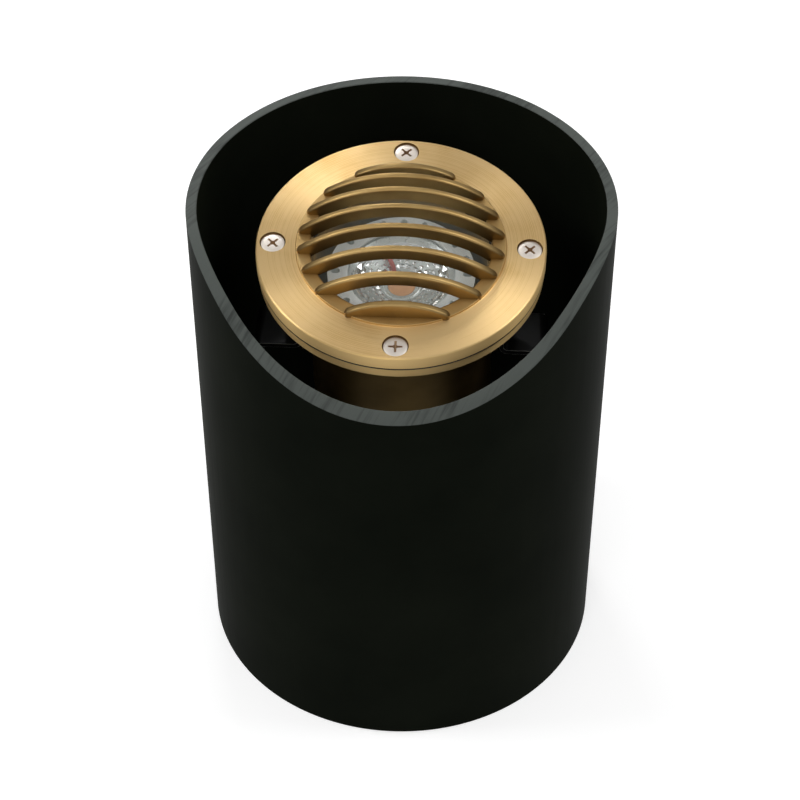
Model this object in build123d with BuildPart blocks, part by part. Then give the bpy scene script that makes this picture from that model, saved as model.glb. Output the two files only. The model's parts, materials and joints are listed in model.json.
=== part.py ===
"""Well light: a louvred brass lamp head on a tilting yoke, inside a slant-cut plastic sleeve.

Millimetres, +Z up. The origin is the centre of the sleeve's open bottom, and the low side of
the slanted mouth faces -Y. The lamp head is drawn in its own leaning frame: heights there are
measured from the flat face of the grille, up along the head, and every piece under the face
has a negative height.
"""

from build123d import *
from math import cos, radians, sin, sqrt, tan
import os

os.makedirs("parts", exist_ok=True)

# Clearances
running_gap = 0.06
loose_gap = 0.15
seat_gap = 0.03

# Sleeve, a length of five-inch pipe
sleeve_diameter = 141.3
sleeve_wall = 3.6
sleeve_height = 187.5
sleeve_front_height = 153.2
slant_angle = 39.8
slant_bend_radius = 50.0

# Crossbar that carries the head in the sleeve
crossbar_width = 24.0
crossbar_thickness = 3.0
crossbar_tab_length = 17.0
crossbar_bend_radius = 2.0

# Screws and nuts through the sleeve's wall
wall_screw_radius = 2.5
wall_screw_head_radius = 4.8
wall_screw_sink = 0.25
wall_screw_length = 14.0
wall_nut_across_flats = 8.0
wall_nut_thickness = 4.0

# Swivel bolt between the crossbar and the yoke
swivel_radius = 3.0
swivel_clearance = 6.3
swivel_head_across_flats = 10.0
swivel_head_thickness = 4.0
swivel_nut_thickness = 5.0
swivel_bolt_end = 1.5
swivel_washer_radius = 9.0
swivel_washer_thickness = 1.0

# Yoke, one bent strap
yoke_width = 20.0
yoke_thickness = 1.5
yoke_span = 101.0
yoke_bend_radius = 1.6
yoke_shelf_drop = 10.0
yoke_tab_reach = 9.0
yoke_tab_corner = 7.0

# Tilt pivots
pivot_height = 142.0
pivot_radius = 2.5
pivot_thread_depth = 3.8
pivot_head_across_flats = 8.0
pivot_head_thickness = 4.2
pivot_pad_radius = 8.0
pivot_pad_height = 1.4
pivot_washer_radius = 6.0
pivot_washer_thickness = 0.8
head_tilt = 9.5
face_above_pivot = 31.2

# Grille, one casting: face ring, raised land and domed louvres
bezel_diameter = 96.0
bezel_thickness = 5.2
bezel_edge_radius = 0.9
bezel_under_chamfer = 0.3
bezel_face_width = 13.2
land_width = 4.8
opening_edge_radius = 0.5
land_height = 0.8
land_edge_chamfer = 0.2
louvre_count = 8
louvre_end_offset = 0.17
louvre_end_inset = 0.3
louvre_foot_thickness = 2.8
louvre_top_thickness = 2.0
louvre_edge_radius = 0.75
louvre_nose_height = 0.9
louvre_root_depth = 1.2
louvre_blade_depth = 4.7
crown_height = 15.4
end_crown_height = 6.76

# Screws through the grille
grille_screw_count = 4
grille_screw_from_edge = 5.5
grille_screw_radius = 2.0
grille_screw_head_radius = 3.85
grille_screw_sink = 0.5
grille_screw_length = 10.0
cross_recess_width = 1.1
cross_recess_length = 4.4
cross_recess_depth = 1.7
cross_recess_taper = 8.0
cross_recess_turns = (45, 45, 45, 0)

# Seals and glass
flange_gasket_thickness = 0.6
flange_gasket_inset = 1.0
lens_overlap = 3.0
lens_thickness = 3.0
lens_chamfer = 0.3
lens_below_face = 4.3
lens_gasket_lip = 1.0
lens_gasket_overlap = 2.4
lens_gasket_wall = 2.0

# Housing: flange and can turned in one
flange_inset = 0.4
flange_thickness = 4.2
flange_chamfer = 0.6
can_diameter = 62.6
can_wall = 2.6
can_depth = 78.0
can_floor = 4.0
can_root_radius = 2.0
can_bottom_radius = 3.0

# Lamp: a plug-in reflector lamp with a finned body
lamp_diameter = 49.6
lamp_below_face = 13.6
lamp_rim_depth = 5.5
lamp_body_depth = 26.0
lamp_neck_radius = 11.5
lamp_ring_inner_radius = 18.0
lamp_ring_outer_radius = 20.0
lamp_ring_thickness = 0.8
lamp_lens_thickness = 1.0
lamp_fin_count = 20
lamp_fin_gap = 2.2
lamp_fin_root_radius = 12.8
lamp_vent_inner_radius = 20.6
lamp_vent_outer_radius = 23.8
reflector_dish_depth = 4.9
reflector_dish_sag = 0.9
reflector_wall = 0.7
chip_radius = 4.6
chip_thickness = 1.2
board_radius = 9.0
board_thickness = 1.6
lamp_wire_radius = 0.8
lamp_wire_angle = 115.0
lamp_wire_inner_reach = 6.6
lamp_wire_outer_reach = 12.0
lamp_wire_inner_height = 1.8
lamp_wire_outer_height = 3.2
lamp_wire_bend_radius = 1.6
lamp_base_depth = 11.0
lamp_base_radius = 10.0
lamp_base_chamfer = 0.8
lamp_pin_root = 3.0
lamp_pin_radius = 0.75
lamp_pin_spacing = 5.33
lamp_pin_length = 6.5

# Lamp socket and its bracket
socket_diameter = 20.0
socket_height = 9.0
socket_bracket_thickness = 1.2
socket_bracket_width = 12.0
socket_bracket_span = 26.0
socket_bracket_foot = 7.0
small_screw_radius = 1.25
small_screw_head_radius = 2.4
small_screw_head_height = 1.6
small_screw_depth = 3.0
socket_screw_offset = 6.5

# Cable gland in the can's floor
gland_across_flats = 18.0
gland_hex_height = 5.0
gland_thread_radius = 6.0
gland_neck_radius = 6.5
gland_neck_length = 5.0
gland_wall = 1.2
gland_nut_across_flats = 15.0
gland_nut_thickness = 3.0
gland_cap_across_flats = 17.0
gland_cap_height = 8.0
gland_cap_lip = 1.4
cable_hole_radius = 3.6
cable_way_radius = 4.4

# Places worked out from the sizes above
sleeve_radius = sleeve_diameter / 2
bore_radius = sleeve_radius - sleeve_wall
can_bottom = -can_depth
gland_hex_under = can_bottom - gland_hex_height
gland_cap_under = gland_hex_under - gland_cap_height
gland_cap_corner = gland_cap_across_flats / sqrt(3)
gland_swing = sqrt((face_above_pivot + gland_cap_under) ** 2 + gland_cap_corner**2)
swivel_bolt_top = pivot_height - gland_swing - swivel_clearance
swivel_nut_seat = swivel_bolt_top - swivel_bolt_end - swivel_nut_thickness
yoke_web_top = swivel_nut_seat - swivel_washer_thickness - 2 * seat_gap
yoke_bottom = yoke_web_top - yoke_thickness
crossbar_top = yoke_bottom - swivel_washer_thickness - seat_gap
crossbar_height = crossbar_top - crossbar_thickness
yoke_shelf_top = pivot_height - yoke_shelf_drop
can_radius = can_diameter / 2
pad_face = can_radius + pivot_pad_height
tab_inner = pad_face + pivot_washer_thickness + seat_gap
tab_outer = tab_inner + yoke_thickness
bezel_radius = bezel_diameter / 2
land_radius = bezel_radius - bezel_face_width
opening_radius = land_radius - land_width
grille_screw_circle_radius = bezel_radius - grille_screw_from_edge
grille_under = -bezel_thickness
flange_radius = bezel_radius - flange_inset
flange_top = grille_under - flange_gasket_thickness
flange_under = flange_top - flange_thickness
lens_radius = opening_radius + lens_overlap
lens_top = -lens_below_face
lens_under = lens_top - lens_thickness
gasket_top = lens_top + lens_gasket_lip
gasket_under = lens_under - lens_gasket_lip
gasket_radius = lens_radius + lens_gasket_wall
floor_top = can_bottom + can_floor
can_bore_radius = can_radius - can_wall
lamp_top = -lamp_below_face
lamp_radius = lamp_diameter / 2
lamp_rim_under = lamp_top - lamp_rim_depth
lamp_neck = lamp_rim_under - lamp_body_depth
lamp_lens_top = lamp_top - lamp_ring_thickness
lamp_seat = lamp_lens_top - lamp_lens_thickness
reflector_top = lamp_seat - running_gap
reflector_low = reflector_top - reflector_dish_depth
chip_top = reflector_low - running_gap
chip_under = chip_top - chip_thickness
board_under = chip_under - board_thickness
lamp_base_end = lamp_neck - lamp_base_depth
socket_top = lamp_base_end - seat_gap
socket_under = socket_top - socket_height
bracket_screw_spacing = socket_bracket_span + socket_bracket_foot

# Planes of the leaning head: its face, its middle section, and its side section
head_up = Vector(0, -sin(radians(head_tilt)), cos(radians(head_tilt)))
face_centre = Vector(0, 0, pivot_height) + head_up * face_above_pivot
face = Plane(origin=face_centre, x_dir=(1, 0, 0), z_dir=head_up)
head_axis = Axis(face_centre, head_up)


def radial_section(angle):
    """The plane through the head's axis at this angle from +X, its own X pointing outward."""
    outward = face.x_dir * cos(radians(angle)) + face.y_dir * sin(radians(angle))
    return Plane(origin=face_centre, x_dir=outward, z_dir=outward.cross(head_up))


section = radial_section(0)
side_section = radial_section(90)


def write(piece, name):
    """Label a finished piece and write its STEP file."""
    piece.part.label = name
    export_step(piece.part, "parts/" + name + ".step")


def band(inner, outer, low, high):
    """Add one rectangle of a turned section, from its radii and heights."""
    with Locations(((inner + outer) / 2, (low + high) / 2)):
        Rectangle(outer - inner, high - low)


def corner(sketch, radius, height):
    """The corner of a turned section that lies at this radius and height."""
    return sketch.vertices().sort_by_distance(Vector(radius, height, 0))[0]


def sideways(side, reach, height=0.0):
    """A plane square to X at this reach on one side, looking outward."""
    return Plane(origin=(side * reach, 0, height), x_dir=(0, side, 0), z_dir=(side, 0, 0))


# Sleeve: tube, slanted mouth with its rounded bend, countersunk holes for the wall screws
overrun = sleeve_wall
bend_y = (sleeve_height - sleeve_front_height) / tan(radians(slant_angle)) - sleeve_radius
slant_end_y = -sleeve_radius - overrun
slant_end_z = sleeve_front_height - overrun * tan(radians(slant_angle))
wall_screw_z = crossbar_height - (crossbar_tab_length - crossbar_thickness) / 2
with BuildPart() as sleeve:
    with BuildSketch(Plane.XY):
        Circle(sleeve_radius)
        Circle(bore_radius, mode=Mode.SUBTRACT)
    extrude(amount=sleeve_height + overrun)
    with BuildSketch(Plane.YZ) as mouth:
        with BuildLine():
            Polyline(
                (sleeve_radius + overrun, sleeve_height),
                (bend_y, sleeve_height),
                (slant_end_y, slant_end_z),
                (slant_end_y, sleeve_height + 2 * overrun),
                (sleeve_radius + overrun, sleeve_height + 2 * overrun),
                close=True,
            )
        make_face()
        fillet(corner(mouth, bend_y, sleeve_height), slant_bend_radius)
    extrude(amount=sleeve_diameter, both=True, mode=Mode.SUBTRACT)
    for side in (-1, 1):
        with Locations(sideways(side, sleeve_radius, wall_screw_z)):
            CounterSinkHole(
                radius=wall_screw_radius + loose_gap,
                counter_sink_radius=wall_screw_head_radius + wall_screw_sink + loose_gap,
                depth=2 * sleeve_wall,
                counter_sink_angle=90,
            )
write(sleeve, "sleeve")

# Crossbar: a strap with both ends bent down and rolled to the sleeve's bore
crossbar_end = bore_radius - seat_gap
with BuildPart() as crossbar:
    with BuildSketch(Plane.XY.offset(crossbar_top - crossbar_tab_length)):
        Circle(crossbar_end)
        Rectangle(2 * sleeve_radius, crossbar_width, mode=Mode.INTERSECT)
    extrude(amount=crossbar_tab_length)
    with BuildSketch(Plane.XY.offset(crossbar_height)):
        Circle(crossbar_end - crossbar_thickness)
    extrude(amount=-crossbar_tab_length, mode=Mode.SUBTRACT)
    inner_bends = crossbar.edges().filter_by(GeomType.CIRCLE).group_by(Axis.Z)[-2]
    fillet(inner_bends, crossbar_bend_radius)
    outer_bends = crossbar.edges().filter_by(GeomType.CIRCLE).group_by(Axis.Z)[-1]
    fillet(outer_bends, crossbar_bend_radius + crossbar_thickness)
    with Locations((0, 0, crossbar_top)):
        Hole(swivel_radius + running_gap)
    for side in (-1, 1):
        with Locations(sideways(side, crossbar_end, wall_screw_z)):
            Hole(wall_screw_radius + running_gap, depth=2 * crossbar_thickness)
write(crossbar, "crossbar")

# Wall screws: countersunk, with a hexagon socket, through the sleeve and the crossbar's ends
wall_screw_face = sleeve_radius - wall_screw_sink
with BuildPart() as wall_screws:
    for side in (-1, 1):
        with BuildSketch(sideways(side, wall_screw_face, wall_screw_z)):
            Circle(wall_screw_head_radius)
        extrude(amount=-(wall_screw_head_radius - wall_screw_radius), taper=45)
        with BuildSketch(sideways(side, wall_screw_face, wall_screw_z)):
            Circle(wall_screw_radius)
        extrude(amount=-wall_screw_length)
        with BuildSketch(sideways(side, wall_screw_face, wall_screw_z)):
            RegularPolygon(wall_screw_radius / 2, 6, major_radius=False)
        extrude(amount=-wall_screw_radius, mode=Mode.SUBTRACT)
write(wall_screws, "wall_screws")

# Wall nuts: on the hollow inner faces of the crossbar's ends
nut_corner = wall_nut_across_flats / sqrt(3)
wall_nut_seat = sqrt((crossbar_end - crossbar_thickness) ** 2 - nut_corner**2) - seat_gap
with BuildPart() as wall_nuts:
    for side in (-1, 1):
        with BuildSketch(sideways(side, wall_nut_seat, wall_screw_z)):
            RegularPolygon(wall_nut_across_flats / 2, 6, major_radius=False)
            Circle(wall_screw_radius + running_gap, mode=Mode.SUBTRACT)
        extrude(amount=-wall_nut_thickness)
write(wall_nuts, "wall_nuts")

# Swivel bolt: hexagon head under the crossbar, shank up through the yoke
with BuildPart() as swivel_bolt:
    with BuildSketch(Plane.XY.offset(crossbar_height)):
        RegularPolygon(swivel_head_across_flats / 2, 6, major_radius=False)
    extrude(amount=-swivel_head_thickness)
    with BuildSketch(Plane.XY.offset(crossbar_height)):
        Circle(swivel_radius)
    extrude(amount=swivel_bolt_top - crossbar_height)
    chamfer(swivel_bolt.edges().group_by(Axis.Z)[-1], swivel_radius / 6)
write(swivel_bolt, "swivel_bolt")

# Swivel washers: one under the yoke and one over it
with BuildPart() as swivel_washers:
    for seat in (crossbar_top, yoke_web_top + seat_gap):
        with BuildSketch(Plane.XY.offset(seat)):
            Circle(swivel_washer_radius)
            Circle(swivel_radius + running_gap, mode=Mode.SUBTRACT)
        extrude(amount=swivel_washer_thickness)
write(swivel_washers, "swivel_washers")

# Swivel nut
with BuildPart() as swivel_nut:
    with BuildSketch(Plane.XY.offset(swivel_nut_seat)):
        RegularPolygon(swivel_head_across_flats / 2, 6, major_radius=False)
        Circle(swivel_radius + running_gap, mode=Mode.SUBTRACT)
    extrude(amount=swivel_nut_thickness)
write(swivel_nut, "swivel_nut")

# Yoke: web, two legs, two shelves and two ears bent from one strap, drilled for its bolts
leg_inner = yoke_span / 2 - yoke_thickness
shelf_under = yoke_shelf_top - yoke_thickness
ear_top = pivot_height + yoke_tab_reach
wide_bend = yoke_bend_radius + yoke_thickness
with BuildPart() as yoke:
    with BuildSketch(Plane.XZ):
        with BuildLine():
            FilletPolyline(
                (-tab_inner, ear_top),
                (-tab_inner, shelf_under),
                (-leg_inner, shelf_under),
                (-leg_inner, yoke_web_top),
                (leg_inner, yoke_web_top),
                (leg_inner, shelf_under),
                (tab_inner, shelf_under),
                (tab_inner, ear_top),
                radius=[wide_bend] + 4 * [yoke_bend_radius] + [wide_bend],
            )
            offset(amount=yoke_thickness, side=Side.RIGHT)
        make_face()
    extrude(amount=yoke_width / 2, both=True)
    fillet(yoke.edges().filter_by(Axis.X).group_by(Axis.Z)[-1], yoke_tab_corner)
    with Locations((0, 0, yoke_web_top)):
        Hole(swivel_radius + running_gap)
    for side in (-1, 1):
        with Locations(sideways(side, tab_outer, pivot_height)):
            Hole(pivot_radius + running_gap, depth=2 * yoke_thickness)
write(yoke, "yoke")

# Pivot bolts: hexagon heads outside the yoke's ears, shanks into the pads on the can
bolt_head_seat = tab_outer + pivot_washer_thickness + seat_gap
with BuildPart() as pivot_bolts:
    for side in (-1, 1):
        with BuildSketch(sideways(side, bolt_head_seat, pivot_height)):
            RegularPolygon(pivot_head_across_flats / 2, 6, major_radius=False)
        extrude(amount=pivot_head_thickness)
        with BuildSketch(sideways(side, bolt_head_seat, pivot_height)):
            Circle(pivot_radius)
        extrude(amount=pad_face - pivot_thread_depth - bolt_head_seat)
write(pivot_bolts, "pivot_bolts")

# Pivot spacers: plain rings between the pads and the yoke's ears
with BuildPart() as pivot_spacers:
    for side in (-1, 1):
        with BuildSketch(sideways(side, pad_face, pivot_height)):
            Circle(pivot_washer_radius)
            Circle(pivot_radius + running_gap, mode=Mode.SUBTRACT)
        extrude(amount=pivot_washer_thickness)
write(pivot_spacers, "pivot_spacers")

# Pivot washers: under the heads of the pivot bolts
with BuildPart() as pivot_washers:
    for side in (-1, 1):
        with BuildSketch(sideways(side, tab_outer + seat_gap, pivot_height)):
            Circle(pivot_washer_radius)
            Circle(pivot_radius + running_gap, mode=Mode.SUBTRACT)
        extrude(amount=pivot_washer_thickness)
write(pivot_washers, "pivot_washers")


# Louvres: blades whose crowns follow a dome. Each is an arched bar of drafted section with a
# rounded crest, turned about its own arc's centre. In plan its ends are rounded noses that stand
# on the land at both sides of the opening. The first and last stand solid on the land.
end_louvre_place = opening_radius + louvre_end_offset
louvre_pitch = 2 * end_louvre_place / (louvre_count - 1)
dome_drop = crown_height - end_crown_height
dome_radius = (end_louvre_place**2 + dome_drop**2) / (2 * dome_drop)
nose = land_height + louvre_nose_height
root = land_height - louvre_root_depth


def louvre_rows():
    """The place, crown, depth and half length of each louvre, front to back."""
    for row in range(louvre_count):
        place = row * louvre_pitch - end_louvre_place
        crown = crown_height - dome_radius + sqrt(dome_radius**2 - place**2)
        depth = crown - root if row in (0, louvre_count - 1) else louvre_blade_depth
        yield place, crown, depth, sqrt(land_radius**2 - place**2) - louvre_end_inset


with BuildPart() as louvres:
    for place, crown, depth, half in louvre_rows():
        arc_radius = (half**2 + (crown - nose) ** 2) / (2 * (crown - nose))
        with BuildSketch(side_section) as blade:
            with BuildLine():
                Polyline(
                    (place - louvre_foot_thickness / 2, crown - depth),
                    (place + louvre_foot_thickness / 2, crown - depth),
                    (place + louvre_top_thickness / 2, crown),
                    (place - louvre_top_thickness / 2, crown),
                    close=True,
                )
            make_face()
            fillet(blade.vertices().group_by(Axis.Y)[-1], louvre_edge_radius)
        arc_centre = face.from_local_coords((0, place, crown - arc_radius))
        revolve(axis=Axis(arc_centre, face.y_dir))
    with BuildSketch(face.offset(root)):
        for place, _, _, half in louvre_rows():
            with Locations((0, place)):
                SlotOverall(2 * half, louvre_foot_thickness + 2 * running_gap)
    extrude(amount=crown_height, mode=Mode.INTERSECT)

# Grille: face ring, raised land round the opening, recess for the lens gasket, the louvres
# and the countersunk screw holes, as one casting
recess_radius = gasket_radius + loose_gap
pocket_radius = grille_screw_head_radius + loose_gap
with BuildPart() as grille_bezel:
    with BuildSketch(section) as casting:
        with BuildLine():
            Polyline(
                (opening_radius, gasket_top),
                (opening_radius, land_height),
                (land_radius, land_height),
                (land_radius, 0),
                (bezel_radius, 0),
                (bezel_radius, grille_under),
                (recess_radius, grille_under),
                (recess_radius, gasket_top),
                close=True,
            )
        make_face()
        fillet(corner(casting, opening_radius, land_height), opening_edge_radius)
        fillet(corner(casting, bezel_radius, 0), bezel_edge_radius)
        chamfer(corner(casting, land_radius, land_height), land_edge_chamfer)
        chamfer(corner(casting, land_radius, 0), land_edge_chamfer)
        chamfer(corner(casting, bezel_radius, grille_under), bezel_under_chamfer)
    revolve(axis=head_axis)
    add(louvres.part)
    with Locations(face):
        with PolarLocations(grille_screw_circle_radius, grille_screw_count):
            Hole(pocket_radius, depth=grille_screw_sink)
    with Locations(face.offset(-grille_screw_sink)):
        with PolarLocations(grille_screw_circle_radius, grille_screw_count):
            CounterSinkHole(
                radius=grille_screw_radius + loose_gap,
                counter_sink_radius=pocket_radius,
                depth=2 * bezel_thickness,
                counter_sink_angle=90,
            )
write(grille_bezel, "grille_bezel")

# Grille screws: countersunk, each with a cross recess turned as the photo shows it
screw_face = face.offset(-grille_screw_sink)
with BuildPart() as grille_screws:
    with BuildSketch(screw_face):
        with PolarLocations(grille_screw_circle_radius, grille_screw_count):
            Circle(grille_screw_head_radius)
    extrude(amount=-(grille_screw_head_radius - grille_screw_radius), taper=45)
    with BuildSketch(screw_face):
        with PolarLocations(grille_screw_circle_radius, grille_screw_count):
            Circle(grille_screw_radius)
    extrude(amount=-grille_screw_length)
    with BuildSketch(screw_face):
        for index in range(grille_screw_count):
            turn = cross_recess_turns[index % len(cross_recess_turns)]
            spot = 360 * index / grille_screw_count
            with PolarLocations(grille_screw_circle_radius, 1, start_angle=spot):
                Rectangle(cross_recess_length, cross_recess_width, rotation=turn)
                Rectangle(cross_recess_width, cross_recess_length, rotation=turn)
    extrude(amount=-cross_recess_depth, taper=cross_recess_taper, mode=Mode.SUBTRACT)
write(grille_screws, "grille_screws")

# Flange gasket: a flat ring a little inside the edge, so that the joint shows as a dark line
with BuildPart() as flange_gasket:
    with BuildSketch(face.offset(flange_top)):
        Circle(flange_radius - flange_gasket_inset)
        Circle(recess_radius, mode=Mode.SUBTRACT)
        with PolarLocations(grille_screw_circle_radius, grille_screw_count):
            Circle(grille_screw_radius + loose_gap, mode=Mode.SUBTRACT)
    extrude(amount=flange_gasket_thickness)
write(flange_gasket, "flange_gasket")

# Lens: flat disc of clear glass with its edges broken
with BuildPart() as lens:
    with BuildSketch(face.offset(lens_under)):
        Circle(lens_radius)
    extrude(amount=lens_thickness)
    chamfer(lens.edges().filter_by(GeomType.CIRCLE), lens_chamfer)
write(lens, "lens")

# Lens gasket: a channel section round the edge of the lens
with BuildPart() as lens_gasket:
    with BuildSketch(section):
        band(lens_radius - lens_gasket_overlap, gasket_radius, gasket_under, gasket_top)
        with Locations(((lens_radius + running_gap) / 2, (lens_top + lens_under) / 2)):
            Rectangle(lens_radius + running_gap, lens_thickness, mode=Mode.SUBTRACT)
    revolve(axis=head_axis)
write(lens_gasket, "lens_gasket")

# Housing: flange, can, floor and the two pivot pads, with its seat, bore and screw holes
with BuildPart() as housing:
    with BuildSketch(section) as turned:
        with BuildLine():
            Polyline(
                (recess_radius, flange_top),
                (flange_radius, flange_top),
                (flange_radius, flange_under),
                (can_radius, flange_under),
                (can_radius, can_bottom),
                (0, can_bottom),
                (0, floor_top),
                (can_bore_radius, floor_top),
                (can_bore_radius, gasket_under),
                (recess_radius, gasket_under),
                close=True,
            )
        make_face()
        chamfer(corner(turned, flange_radius, flange_top), bezel_under_chamfer)
        chamfer(corner(turned, flange_radius, flange_under), flange_chamfer)
        fillet(corner(turned, can_radius, flange_under), can_root_radius)
        fillet(corner(turned, can_radius, can_bottom), can_bottom_radius)
    revolve(axis=head_axis)
    for side in (-1, 1):
        with BuildSketch(sideways(side, pad_face, pivot_height)):
            Circle(pivot_pad_radius)
        extrude(amount=can_bore_radius + can_wall / 2 - pad_face)
    with BuildSketch(face.offset(floor_top)):
        Circle(can_bore_radius)
    extrude(amount=-floor_top + gasket_under, mode=Mode.SUBTRACT)
    for side in (-1, 1):
        with Locations(sideways(side, pad_face, pivot_height)):
            Hole(pivot_radius + running_gap, depth=2 * can_wall)
    with Locations(face.offset(flange_top)):
        with PolarLocations(grille_screw_circle_radius, grille_screw_count):
            Hole(grille_screw_radius + running_gap, depth=flange_thickness)
    with Locations(face.offset(floor_top)):
        Hole(gland_thread_radius + running_gap, depth=can_floor)
        with GridLocations(bracket_screw_spacing, 0, 2, 1):
            Hole(small_screw_radius + running_gap, depth=small_screw_depth)
write(housing, "housing")

# Lamp heat sink: rim with vents, tapered body with fins, bowl for the reflector and board
bowl_radius = lamp_ring_inner_radius + loose_gap
with BuildPart() as lamp_heatsink:
    with BuildSketch(section):
        with BuildLine():
            Polyline(
                (0, board_under),
                (bowl_radius, board_under),
                (bowl_radius, lamp_seat),
                (lamp_ring_outer_radius, lamp_seat),
                (lamp_ring_outer_radius, lamp_top),
                (lamp_radius, lamp_top),
                (lamp_radius, lamp_rim_under),
                (lamp_neck_radius, lamp_neck),
                (0, lamp_neck),
                close=True,
            )
        make_face()
    revolve(axis=head_axis)
    vent_length = lamp_vent_outer_radius - lamp_vent_inner_radius
    with BuildSketch(face.offset(lamp_top)):
        with PolarLocations((lamp_vent_outer_radius + lamp_vent_inner_radius) / 2, lamp_fin_count):
            SlotOverall(vent_length, lamp_fin_gap)
    extrude(amount=board_under - lamp_top, mode=Mode.SUBTRACT)
    with BuildSketch(face.offset(board_under - lamp_fin_gap)):
        with PolarLocations((lamp_radius + lamp_fin_root_radius) / 2, lamp_fin_count):
            Rectangle(lamp_radius - lamp_fin_root_radius, lamp_fin_gap)
    extrude(until=Until.LAST, dir=-head_up, mode=Mode.SUBTRACT)
write(lamp_heatsink, "lamp_heatsink")

# Lamp lens: thin clear disc over the reflector
with BuildPart() as lamp_lens:
    with BuildSketch(face.offset(lamp_seat)):
        Circle(lamp_ring_outer_radius - running_gap)
    extrude(amount=lamp_lens_thickness)
write(lamp_lens, "lamp_lens")

# Lamp ring: the bead that holds the lamp's lens in its seat
with BuildPart() as lamp_ring:
    with BuildSketch(section) as bead:
        band(lamp_ring_inner_radius, lamp_ring_outer_radius - running_gap, lamp_lens_top, lamp_top)
        fillet(corner(bead, lamp_ring_inner_radius, lamp_top), lamp_ring_thickness / 2)
    revolve(axis=head_axis)
write(lamp_ring, "lamp_ring")

# Reflector: a shallow dish with a hole for the light-emitting chip
dish_hole = chip_radius + loose_gap
dish_middle = (lamp_ring_inner_radius + dish_hole) / 2
dish_middle_height = (reflector_top + reflector_low) / 2 - reflector_dish_sag
with BuildPart() as reflector:
    with BuildSketch(section):
        with BuildLine():
            ThreePointArc(
                (lamp_ring_inner_radius, reflector_top),
                (dish_middle, dish_middle_height),
                (dish_hole, reflector_low),
            )
            Line((dish_hole, reflector_low), (dish_hole, reflector_low - reflector_wall))
            ThreePointArc(
                (dish_hole, reflector_low - reflector_wall),
                (dish_middle, dish_middle_height - reflector_wall),
                (lamp_ring_inner_radius, reflector_top - reflector_wall),
            )
            Line(
                (lamp_ring_inner_radius, reflector_top - reflector_wall),
                (lamp_ring_inner_radius, reflector_top),
            )
        make_face()
    revolve(axis=head_axis)
    for reach in (lamp_wire_inner_reach, lamp_wire_outer_reach):
        with Locations(face.offset(reflector_top)):
            with PolarLocations(reach, 1, start_angle=lamp_wire_angle):
                Hole(lamp_wire_radius + loose_gap, depth=2 * reflector_dish_depth)
write(reflector, "lamp_reflector")

# Lamp board and the light-emitting chip on it
with BuildPart() as lamp_board:
    with BuildSketch(face.offset(board_under)):
        Circle(board_radius)
    extrude(amount=board_thickness)
write(lamp_board, "lamp_board")
with BuildPart() as lamp_chip:
    with BuildSketch(face.offset(chip_under)):
        Circle(chip_radius)
    extrude(amount=chip_thickness)
write(lamp_chip, "lamp_chip")

# Lamp wire: up from the board through the dish, outward over it and down again
board_top = board_under + board_thickness
wire_start = (lamp_wire_inner_reach, board_top)
with BuildPart() as lamp_wire:
    with BuildLine(radial_section(lamp_wire_angle)) as route:
        FilletPolyline(
            wire_start,
            (lamp_wire_inner_reach, reflector_low + lamp_wire_inner_height),
            (lamp_wire_outer_reach, reflector_low + lamp_wire_outer_height),
            (lamp_wire_outer_reach, board_top),
            radius=lamp_wire_bend_radius,
        )
    with BuildSketch(Plane(origin=route.line @ 0, z_dir=route.line % 0)):
        Circle(lamp_wire_radius)
    sweep(path=route.line)
write(lamp_wire, "lamp_wire")

# Lamp base: the ceramic plug under the heat sink
with BuildPart() as lamp_base:
    with BuildSketch(face.offset(lamp_neck)):
        Circle(lamp_base_radius)
    extrude(amount=-lamp_base_depth)
    chamfer(lamp_base.edges().sort_by(head_axis)[0], lamp_base_chamfer)
    with Locations(face.offset(lamp_base_end)):
        with GridLocations(lamp_pin_spacing, 0, 2, 1):
            Hole(lamp_pin_radius + running_gap, depth=lamp_pin_root)
write(lamp_base, "lamp_base")

# Lamp pins: two round contacts set in the base
with BuildPart() as lamp_pins:
    with BuildSketch(face.offset(lamp_base_end + lamp_pin_root)):
        with GridLocations(lamp_pin_spacing, 0, 2, 1):
            Circle(lamp_pin_radius)
    extrude(amount=-lamp_pin_root - lamp_pin_length)
write(lamp_pins, "lamp_pins")

# Lamp socket: ceramic, with two contact holes and two screw holes
with BuildPart() as lamp_socket:
    with BuildSketch(face.offset(socket_top)):
        Circle(socket_diameter / 2)
        with GridLocations(lamp_pin_spacing, 0, 2, 1):
            Circle(lamp_pin_radius + running_gap, mode=Mode.SUBTRACT)
        with GridLocations(0, 2 * socket_screw_offset, 1, 2):
            Circle(small_screw_radius + running_gap, mode=Mode.SUBTRACT)
    extrude(amount=-socket_height)
    with BuildSketch(face.offset(socket_top)):
        with GridLocations(0, 2 * socket_screw_offset, 1, 2):
            Circle(small_screw_head_radius + running_gap)
    extrude(amount=-small_screw_head_height - running_gap, mode=Mode.SUBTRACT)
write(lamp_socket, "lamp_socket")

# Socket bracket: a strap bent to a hat over the gland's nut
bracket_half = socket_bracket_span / 2
with BuildPart() as socket_bracket:
    with BuildSketch(section):
        with BuildLine():
            FilletPolyline(
                (-bracket_half - socket_bracket_foot, floor_top + socket_bracket_thickness),
                (-bracket_half, floor_top + socket_bracket_thickness),
                (-bracket_half, socket_under),
                (bracket_half, socket_under),
                (bracket_half, floor_top + socket_bracket_thickness),
                (bracket_half + socket_bracket_foot, floor_top + socket_bracket_thickness),
                radius=socket_bracket_thickness + loose_gap,
            )
            offset(amount=socket_bracket_thickness, side=Side.RIGHT)
        make_face()
    extrude(amount=socket_bracket_width / 2, both=True)
    with Locations(face.offset(floor_top + socket_bracket_thickness)):
        with GridLocations(bracket_screw_spacing, 0, 2, 1):
            Hole(small_screw_radius + running_gap, depth=2 * socket_bracket_thickness)
write(socket_bracket, "socket_bracket")

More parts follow.
